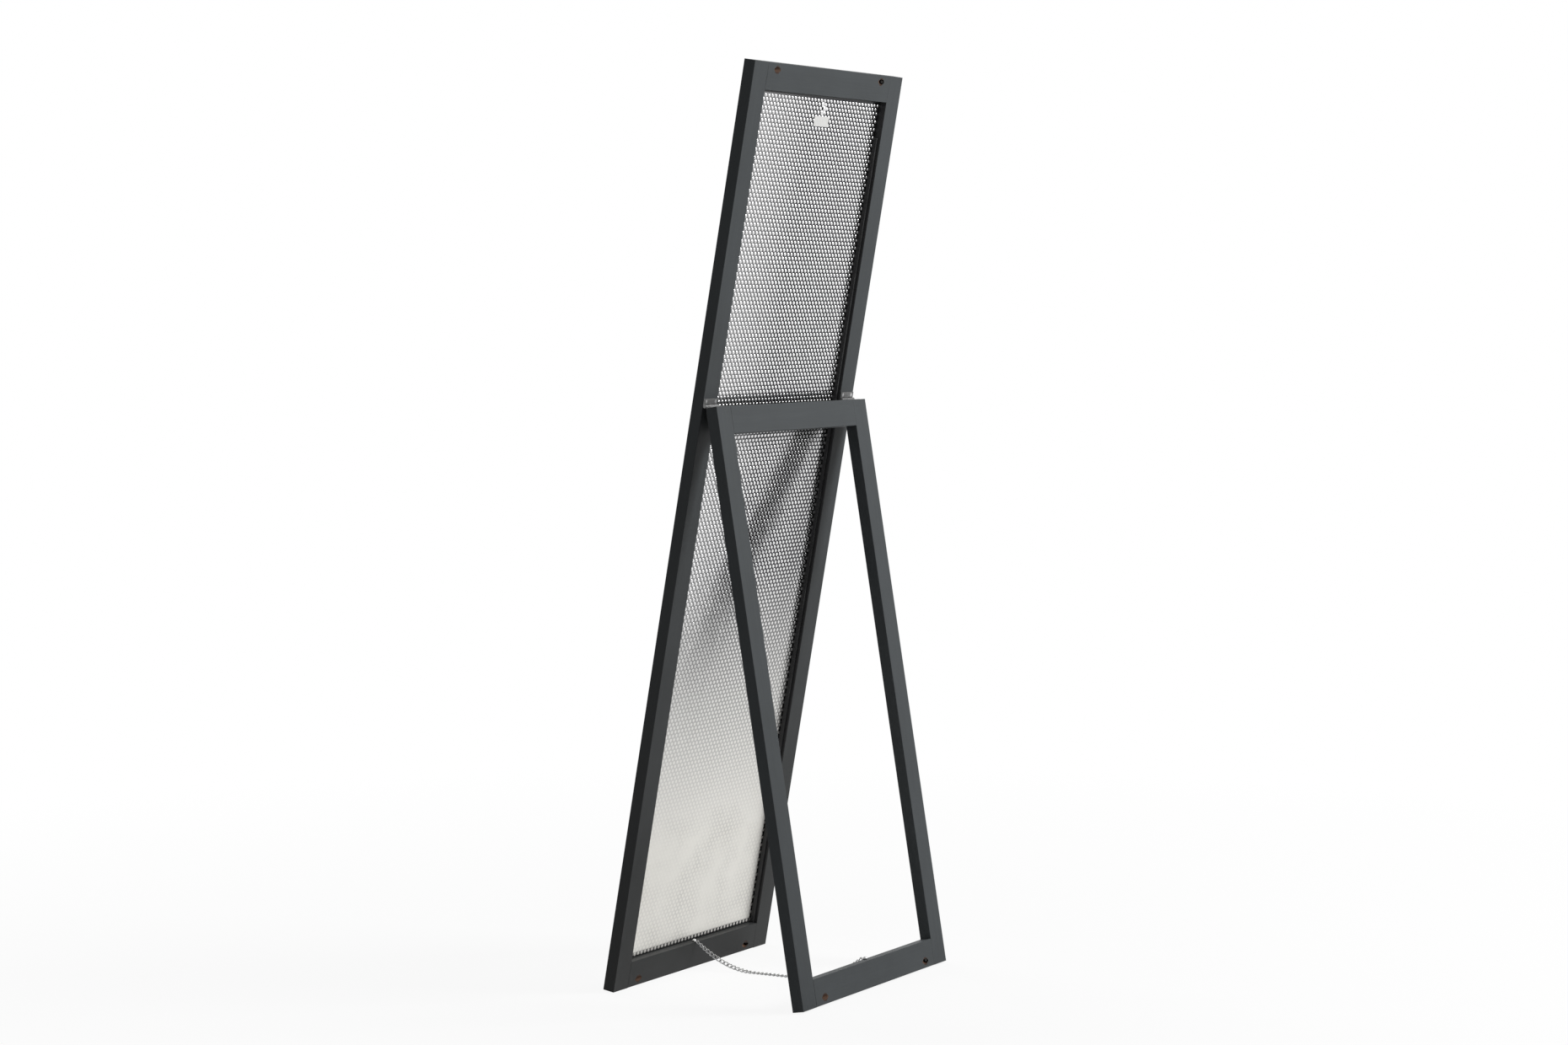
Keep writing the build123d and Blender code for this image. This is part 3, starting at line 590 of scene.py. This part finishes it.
def new_piece(name, points, faces, material, smooth=True):
    """A mesh, shaded smooth or flat all over or by face."""
    mesh = bpy.data.meshes.new(name)
    mesh.from_pydata([tuple(point) for point in points], [], faces)
    mesh.materials.append(material)
    shading = smooth if isinstance(smooth, list) else [smooth] * len(faces)
    mesh.polygons.foreach_set("use_smooth", shading)
    piece = bpy.data.objects.new(name, mesh)
    bpy.context.scene.collection.objects.link(piece)
    return piece


def bubble_centres():
    """Each bubble's place across and up the film, row by row from its foot."""
    row_count = int((film_top - film_bottom) / BUBBLE_ROW) + 1
    for row in range(row_count):
        shift = BUBBLE_PITCH / 2 if row % 2 else 0.0
        column_count = int((2 * film_edge_x - shift) / BUBBLE_PITCH) + 1
        for column in range(column_count):
            yield -film_edge_x + shift + column * BUBBLE_PITCH, film_bottom + row * BUBBLE_ROW


def crumple(x, up):
    """How much of the crumple there is at a place on the film, from 0 to 1."""
    aside = (x - CRUMPLE_X) / CRUMPLE_HALF_WIDTH
    above = (up - film_top + CRUMPLE_DROP) / CRUMPLE_HALF_HEIGHT
    return max(0.0, 1.0 - aside**2 - above**2)


def make_film():
    """The bubbles, the flat sheet that they stand on, its back and its cut edges."""
    points = []
    faces = []
    smooth = []
    dips = []
    unevenness = np.random.default_rng(SWELL_SEED)
    for x, up in bubble_centres():
        first = len(points)
        full = np.interp(up, (GAPS_START, GAPS_FULL), (FLAT_SHARE, 1.0))
        swell = unevenness.uniform(*SWELL_RANGE) * full * BUBBLE_HEIGHT
        lift = crumple(x, up)
        spread = 1.0 + CRUMPLE_SPREAD * min(1.0, 2 * lift)
        for share, height, dip in BUBBLE_RINGS:
            for side in range(BUBBLE_SIDES):
                turn = math.tau * (side + 0.5) / BUBBLE_SIDES
                ring_x = x + share * spread * BUBBLE_HALF_WIDTH * math.cos(turn)
                ring_up = up + share * spread * BUBBLE_HALF_HEIGHT * math.sin(turn)
                depth = film_depth - height * swell - lift * CRUMPLE_LIFT
                points.append(on_frame(ring_x, ring_up, depth))
                dips.append(dip * (1.0 - min(1.0, 2 * lift)))
        points.append(on_frame(x, up, film_depth - swell - lift * CRUMPLE_LIFT))
        dips.append(0.0)
        for ring in range(len(BUBBLE_RINGS) - 1):
            start = first + ring * BUBBLE_SIDES
            beyond = start + BUBBLE_SIDES
            for side in range(BUBBLE_SIDES):
                beside = (side + 1) % BUBBLE_SIDES
                faces.append((start + side, start + beside, beyond + beside, beyond + side))
                smooth.append(True)
        # The top of a bubble is nearly flat, so it's shaded flat and mirrors what is behind the camera
        start = first + (len(BUBBLE_RINGS) - 1) * BUBBLE_SIDES
        for side in range(BUBBLE_SIDES):
            faces.append((start + side, start + (side + 1) % BUBBLE_SIDES, len(points) - 1))
            smooth.append(False)
    # The flat film behind the bubbles, its back, which lies on the glass, and its cut edges; all of them
    # count as dips and take the painted gap shade
    low_edge = film_bottom - FILM_EDGE / 2
    high_edge = film_top + FILM_EDGE / 2
    first = len(points)
    for depth in (film_depth, film_back):
        for x, up in ((-1, low_edge), (1, low_edge), (1, high_edge), (-1, high_edge)):
            points.append(on_frame(x * film_edge_x, up, depth))
            dips.append(1.0)
    faces.append((first + 3, first + 2, first + 1, first))
    faces.append((first + 4, first + 5, first + 6, first + 7))
    for corner in range(4):
        beside = (corner + 1) % 4
        faces.append((first + corner, first + beside, first + 4 + beside, first + 4 + corner))
    smooth += [False] * 6
    film = new_piece("bubble_film", points, faces, bubble_film, smooth)
    attribute = film.data.attributes.new("dip", "FLOAT", "POINT")
    attribute.data.foreach_set("value", dips)
    return film


film = make_film()
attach(film, "mirror_frame")
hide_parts("bubble_foil")

# Chain
WIRE_RADIUS = 0.0008
LINK_LENGTH = 0.0072
LINK_WIDTH = 0.0036
LINK_PLAY = 0.00025
LINK_TWIST = math.radians(80)
LINK_STEPS = 32
WIRE_SIDES = 8
ANCHOR_MARGIN = 0.0035
ANCHOR_SHANK = 0.0015
ANCHOR_PLAY = 0.0001
DROP_REACH = 0.098
link_pitch = LINK_LENGTH - LINK_PLAY
crown_radius = LINK_WIDTH / 2 + WIRE_RADIUS
crown_centre = LINK_LENGTH / 2 + WIRE_RADIUS - crown_radius
wire_rest = WIRE_RADIUS + LINK_PLAY / 2
end_link_run = LINK_LENGTH / 2 - ANCHOR_SHANK - ANCHOR_PLAY
floor_low, floor_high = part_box("chain_floor_links")
floor_z = (floor_low.z + floor_high.z) / 2
frame_anchor = on_frame(0, WOOD_WIDTH, ANCHOR_MARGIN) + frame_up * wire_rest
leg_anchor = on_leg(0, WOOD_WIDTH, WOOD_THICKNESS - ANCHOR_MARGIN) + leg_up * wire_rest
frame_pivot = frame_anchor + frame_back * (end_link_run + link_pitch / 2)
leg_pivot = leg_anchor - leg_back * (end_link_run + link_pitch / 2)


def hanging(start, direction, count=60):
    """Points down a parabola from a rail to where the chain meets the floor."""
    middle = Vector((0, start.y + direction * DROP_REACH / 2, floor_z))
    touch = Vector((0, start.y + direction * DROP_REACH, floor_z))
    for step in range(count + 1):
        t = step / count
        yield start * (1 - t) ** 2 + middle * 2 * t * (1 - t) + touch * t**2


route = list(hanging(frame_pivot, 1)) + list(hanging(leg_pivot, -1))[::-1]
runs = np.cumsum([0.0] + [(b - a).length for a, b in zip(route, route[1:])])
drop_length = runs[len(route) // 2 - 1]
link_count = math.ceil(runs[-1] / link_pitch)
link_spacing = runs[-1] / link_count


def on_route(run):
    """The place on the chain's route, this far along it from the mirror."""
    place = [np.interp(run, runs, [point[axis] for point in route]) for axis in range(3)]
    return Vector(place)


def make_link(name, start, end, roll, twist):
    """A link of round wire between two points, its ends turned against each other by the twist."""
    along = (end - start).normalized()
    upward = across.cross(along)
    lift = upward * math.cos(roll) + across * math.sin(roll)
    sideways = lift.cross(along)
    middle = (start + end) / 2
    centres = []
    for step in range(LINK_STEPS):
        angle = math.tau * step / LINK_STEPS
        run = math.copysign(crown_centre, math.cos(angle)) + crown_radius * math.cos(angle)
        turn = twist / 2 * run / (crown_centre + crown_radius)
        width = crown_radius * math.sin(angle)
        side = sideways * math.cos(turn) + lift * math.sin(turn)
        face_on = lift * math.cos(turn) - sideways * math.sin(turn)
        centres.append((middle + along * run + side * width, face_on))
    points = []
    faces = []
    for step, (centre, face_on) in enumerate(centres):
        tangent = (centres[(step + 1) % LINK_STEPS][0] - centres[step - 1][0]).normalized()
        out = face_on.cross(tangent).normalized()
        rise = tangent.cross(out)
        for wire_side in range(WIRE_SIDES):
            angle = math.tau * wire_side / WIRE_SIDES
            points.append(centre + (out * math.cos(angle) + rise * math.sin(angle)) * WIRE_RADIUS)
            beside = (wire_side + 1) % WIRE_SIDES
            here = step * WIRE_SIDES
            beyond = (step + 1) % LINK_STEPS * WIRE_SIDES
            faces.append((here + wire_side, here + beside, beyond + beside, beyond + wire_side))
    return new_piece(name, points, faces, chain_zinc)


# The share of the leg's turn that a piece takes is held this far inside 0 and 1
LEAST_SHARE = 0.001
chain_start_angle = math.atan2(frame_pivot.y - pin.y, pin.z - frame_pivot.z)
chain_end_angle = math.atan2(leg_pivot.y - pin.y, pin.z - leg_pivot.z)


def fold_share(place):
    """How much of the leg's turn the chain takes at a place, from 0 at the mirror to 1 at the leg."""
    angle = math.atan2(place.y - pin.y, pin.z - place.z)
    return (angle - chain_start_angle) / (chain_end_angle - chain_start_angle)


def turn_with_leg(piece, share):
    """Bakes a piece's place into its mesh, after holding its share of the leg's turn inside its limits."""
    share = min(max(share, LEAST_SHARE), 1 - LEAST_SHARE)
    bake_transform(piece)


for index in range(link_count):
    start = on_route(index * link_spacing)
    end = on_route((index + 1) * link_spacing)
    run = (index + 0.5) * link_spacing
    # A link lies flat on the floor, and up each drop the links roll until they hang from the flat end link
    from_floor = max(0, drop_length - run) - max(0, run - runs[-1] + drop_length)
    roll = (math.pi / 2 + LINK_TWIST / 2) * from_floor / drop_length
    link = make_link(f"chain_link_{index + 1:02d}", start, end, roll, LINK_TWIST)
    turn_with_leg(link, fold_share((start + end) / 2))
    if index == 0:
        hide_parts("chain_links", "chain_floor_links")


def make_end_link(name, anchor, outward, body, node):
    """The flat link under a screw, which rides its frame."""
    middle = anchor + outward * end_link_run
    reach = outward * (link_pitch / 2)
    link = make_link(name, middle - reach, middle + reach, 0.0, 0.0)
    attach(link, body)
    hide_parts(node)


make_end_link("chain_end_at_frame", frame_anchor, frame_back, "mirror_frame", "chain_frame_end_link")
make_end_link("chain_end_at_leg", leg_anchor, -leg_back, "leg", "chain_leg_end_link")

# Studio
FLOOR_HALF_SIZE = 12.0
SHADOW_START = 0.5
SHADOW_END = 2.4
GLOSSY_WHITE = 0.9
SHADOW_WHITE = 0.90
FLOOR_DROP = 0.0002
FLOOR_FILL = colour(0.34, 0.34, 0.34)
FLOOR_SEEN = colour(0.95, 0.95, 0.95)
SOFT_FILL = 0.11


def seen_as_white(tree):
    """1 for the camera and through glass, and a little less in reflections."""
    rays = add(tree, "ShaderNodeLightPath").outputs
    seen = add_math(tree, "MAXIMUM", rays["Is Camera Ray"], rays["Is Transmission Ray"])
    return add_math(tree, "MAXIMUM", seen, add_math(tree, "MULTIPLY", rays["Is Glossy Ray"], GLOSSY_WHITE))


def make_floor():
    """A white floor that keeps a faint shadow under the mirror and fades into the backdrop."""
    size = FLOOR_HALF_SIZE
    points = [(-size, -size, 0), (size, -size, 0), (size, size, 0), (-size, size, 0)]
    material, tree, surface = new_material("studio floor")
    camera_ray = add(tree, "ShaderNodeLightPath").outputs["Is Camera Ray"]
    floor_colour = mix_colours(tree, camera_ray, FLOOR_FILL, FLOOR_SEEN)
    tree.links.new(floor_colour, surface.inputs["Base Color"])
    surface.inputs["Roughness"].default_value = 0.9
    surface.inputs["Specular IOR Level"].default_value = 0.1
    glow = add(tree, "ShaderNodeEmission", {"Color": colour(1, 1, 1), "Strength": 1.0}).outputs[0]
    place = add(tree, "ShaderNodeNewGeometry").outputs["Position"]
    away = add(tree, "ShaderNodeVectorMath", {0: place}, operation="LENGTH").outputs["Value"]
    seen = seen_as_white(tree)
    unshaded = add_ramp(tree, away, SHADOW_START, SHADOW_END, SHADOW_WHITE, 1.0)
    white = add_math(tree, "MULTIPLY", seen, unshaded)
    mixed = add(tree, "ShaderNodeMixShader", {0: white, 1: surface.outputs[0], 2: glow})
    output = tree.nodes["Material Output"]
    tree.links.new(mixed.outputs[0], output.inputs["Surface"])
    floor = new_piece("studio_floor", points, [(0, 1, 2, 3)], material, smooth=False)
    floor.location.z = -FLOOR_DROP


def make_world():
    """White all round for the camera and in reflections, and a softer fill on the object."""
    world = bpy.data.worlds.new("studio")
    bpy.context.scene.world = world
    world.use_nodes = True
    tree = world.node_tree
    background = tree.nodes["Background"]
    background.inputs["Color"].default_value = colour(1, 1, 1)
    strength = add_math(tree, "MAXIMUM", seen_as_white(tree), SOFT_FILL)
    tree.links.new(strength, background.inputs["Strength"])


def make_lamp(name, place, target, size, power):
    """A soft rectangular lamp, turned to its target."""
    lamp = bpy.data.lights.new(name, "AREA")
    lamp.shape = "RECTANGLE"
    lamp.size, lamp.size_y = size
    lamp.energy = power
    holder = bpy.data.objects.new(name, lamp)
    holder.location = place
    holder.rotation_euler = (Vector(target) - Vector(place)).to_track_quat("-Z", "Y").to_euler()
    bpy.context.scene.collection.objects.link(holder)


make_floor()
make_world()
make_lamp("back key", place=(-1.5, 2.7, 2.3), target=(0, 0, 0.8), size=(1.5, 1.5), power=88)
make_lamp("front fill", place=(-1.8, -3.8, 2.4), target=(0, 0, 0.7), size=(3.0, 2.4), power=70)
make_lamp("overhead", place=(-0.8, 0.4, 4.0), target=(0, 0, 0), size=(2.5, 2.5), power=18)

# Camera, from the corners of both frames in the photograph: 1860 x 1240
CAMERA_FROM_FOOT = Vector((4.5329, 2.7110, 1.0106))
CAMERA_FORWARD = Vector((-0.8698, -0.4895, -0.0630))
CAMERA_LENS = 80.585
SENSOR_WIDTH = 36.0

view = bpy.data.cameras.new("camera")
view.lens = CAMERA_LENS
view.sensor_width = SENSOR_WIDTH
view.sensor_fit = "HORIZONTAL"
camera = bpy.data.objects.new("camera", view)
camera.location = Vector((0, frame_foot.y, 0)) + CAMERA_FROM_FOOT
camera.rotation_euler = CAMERA_FORWARD.to_track_quat("-Z", "Y").to_euler()
bpy.context.scene.collection.objects.link(camera)
bpy.context.scene.camera = camera
bpy.context.scene.view_settings.view_transform = "Standard"

bpy.context.view_layer.update()
